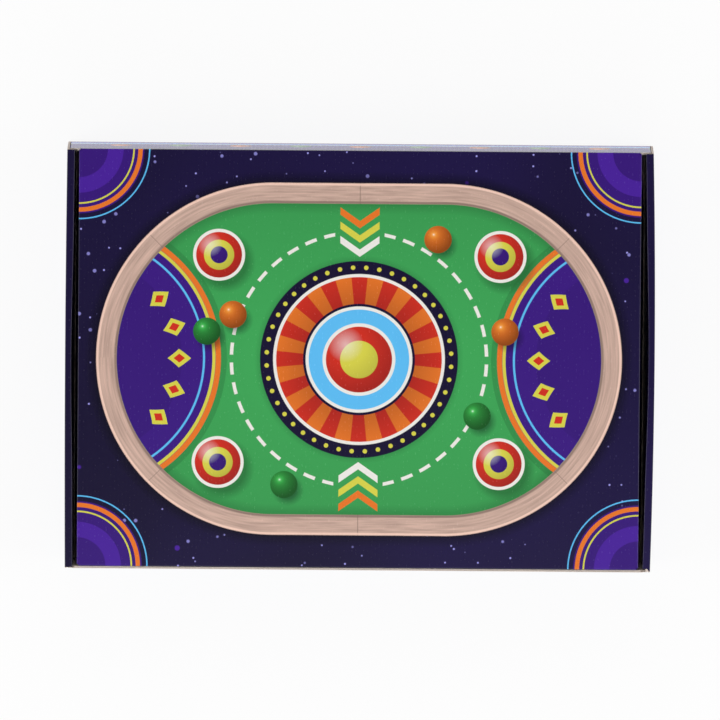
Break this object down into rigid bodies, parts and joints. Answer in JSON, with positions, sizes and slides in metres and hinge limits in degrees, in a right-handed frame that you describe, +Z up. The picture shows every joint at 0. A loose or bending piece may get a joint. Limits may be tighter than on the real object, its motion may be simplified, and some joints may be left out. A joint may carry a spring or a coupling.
{
  "type": "boxed tabletop pinball game",
  "caption": "Flat printed carton with a hinged tuck-in lid, holding a wooden two-player flipper pinball board with side levers, an arched divider and loose balls.",
  "frame": {"origin": "middle of the carton's underside", "axes": "+Z up through the lid, +Y towards the lid's hinge, +X to the right of someone who reads the lid"},
  "size_m": [0.45, 0.324, 0.06],
  "materials": {
    "printed_carton": "corrugated board with a gloss-laminated printed face",
    "playfield_green": "satin green paint on fibreboard",
    "frame_wood": "satin clear lacquer on pale solid wood",
    "cover_purple": "satin purple paint on fibreboard",
    "steel": "plain turned steel",
    "lane_print": "printed card",
    "green_ball": "glossy",
    "orange_ball": "glossy"
  },
  "bodies": {
    "tray": {"base_panel": "printed_carton", "front_wall": "printed_carton", "rear_wall": "printed_carton", "left_side_wall": "printed_carton", "right_side_wall": "printed_carton", "front_left_corner_flap": "printed_carton", "front_right_corner_flap": "printed_carton", "rear_left_corner_flap": "printed_carton", "rear_right_corner_flap": "printed_carton", "playfield_board": "playfield_green", "front_side_rail": "frame_wood", "rear_side_rail": "frame_wood", "left_end_rail": "frame_wood", "right_end_rail": "frame_wood", "divider_wall": "frame_wood", "front_left_cover": "cover_purple", "front_right_cover": "cover_purple", "rear_left_cover": "cover_purple", "rear_right_cover": "cover_purple", "front_left_pivot_pin": "steel", "front_right_pivot_pin": "steel", "rear_left_pivot_pin": "steel", "rear_right_pivot_pin": "steel", "pivot_washers": "steel", "rail_screws": "steel", "left_lane_panel": "lane_print", "right_lane_panel": "lane_print"},
    "lid": {"lid_panel": "printed_carton"},
    "left_wing": {"lid_left_wing": "printed_carton"},
    "right_wing": {"lid_right_wing": "printed_carton"},
    "tuck": {"lid_tuck_flap": "printed_carton"},
    "flipper_front_left": {"front_left_flipper": "frame_wood"},
    "flipper_front_right": {"front_right_flipper": "frame_wood"},
    "flipper_rear_left": {"rear_left_flipper": "frame_wood"},
    "flipper_rear_right": {"rear_right_flipper": "frame_wood"},
    "loose_orange_1": {"orange_ball_1": "orange_ball"},
    "loose_green_1": {"green_ball_1": "green_ball"},
    "loose_orange_2": {"orange_ball_2": "orange_ball"},
    "loose_green_2": {"green_ball_2": "green_ball"},
    "loose_green_3": {"green_ball_3": "green_ball"},
    "loose_orange_3": {"orange_ball_3": "orange_ball"},
    "loose_green_4": {"green_ball_4": "green_ball"},
    "loose_orange_4": {"orange_ball_4": "orange_ball"}
  },
  "joints": [
    {"name": "lid_hinge", "type": "hinge", "parent": "tray", "child": "lid", "pos_m": [0, 0.162, 0.0584], "axis": [-1, 0, 0], "range_deg": [0, 180]},
    {"name": "left_wing_fold", "type": "hinge", "parent": "lid", "child": "left_wing", "pos_m": [-0.2142, 0, 0.0584], "axis": [0, -1, 0], "range_deg": [0, 15]},
    {"name": "right_wing_fold", "type": "hinge", "parent": "lid", "child": "right_wing", "pos_m": [0.2142, 0, 0.0584], "axis": [0, 1, 0], "range_deg": [0, 15]},
    {"name": "tuck_flap_fold", "type": "hinge", "parent": "lid", "child": "tuck", "pos_m": [0, -0.1584, 0.0584], "axis": [1, 0, 0], "range_deg": [0, 45]},
    {"name": "front_left_flipper_pivot", "type": "hinge", "parent": "tray", "child": "flipper_front_left", "pos_m": [-0.1452, -0.0874, 0.0116], "axis": [0, 0, -1], "range_deg": [0, 12]},
    {"name": "front_right_flipper_pivot", "type": "hinge", "parent": "tray", "child": "flipper_front_right", "pos_m": [0.1452, -0.0874, 0.0116], "axis": [0, 0, 1], "range_deg": [0, 12]},
    {"name": "rear_left_flipper_pivot", "type": "hinge", "parent": "tray", "child": "flipper_rear_left", "pos_m": [-0.1452, 0.0994, 0.0116], "axis": [0, 0, 1], "range_deg": [0, 12]},
    {"name": "rear_right_flipper_pivot", "type": "hinge", "parent": "tray", "child": "flipper_rear_right", "pos_m": [0.1452, 0.0994, 0.0116], "axis": [0, 0, -1], "range_deg": [0, 12]},
    {"name": "orange_1_roll", "type": "slide", "parent": "tray", "child": "loose_orange_1", "axis": [-1, 0, 0], "range_m": [0, 0.07]},
    {"name": "green_1_roll", "type": "slide", "parent": "tray", "child": "loose_green_1", "axis": [-1, 0, 0], "range_m": [0, 0.1]},
    {"name": "orange_2_roll", "type": "slide", "parent": "tray", "child": "loose_orange_2", "axis": [-1, 0, 0], "range_m": [0, 0.1]},
    {"name": "green_2_roll", "type": "slide", "parent": "tray", "child": "loose_green_2", "axis": [-1, 0, 0], "range_m": [0, 0.07]},
    {"name": "green_3_roll", "type": "slide", "parent": "tray", "child": "loose_green_3", "axis": [1, 0, 0], "range_m": [0, 0.07]},
    {"name": "orange_3_roll", "type": "slide", "parent": "tray", "child": "loose_orange_3", "axis": [1, 0, 0], "range_m": [0, 0.1]},
    {"name": "green_4_roll", "type": "slide", "parent": "tray", "child": "loose_green_4", "axis": [1, 0, 0], "range_m": [0, 0.1]},
    {"name": "orange_4_roll", "type": "slide", "parent": "tray", "child": "loose_orange_4", "axis": [1, 0, 0], "range_m": [0, 0.07]}
  ]
}
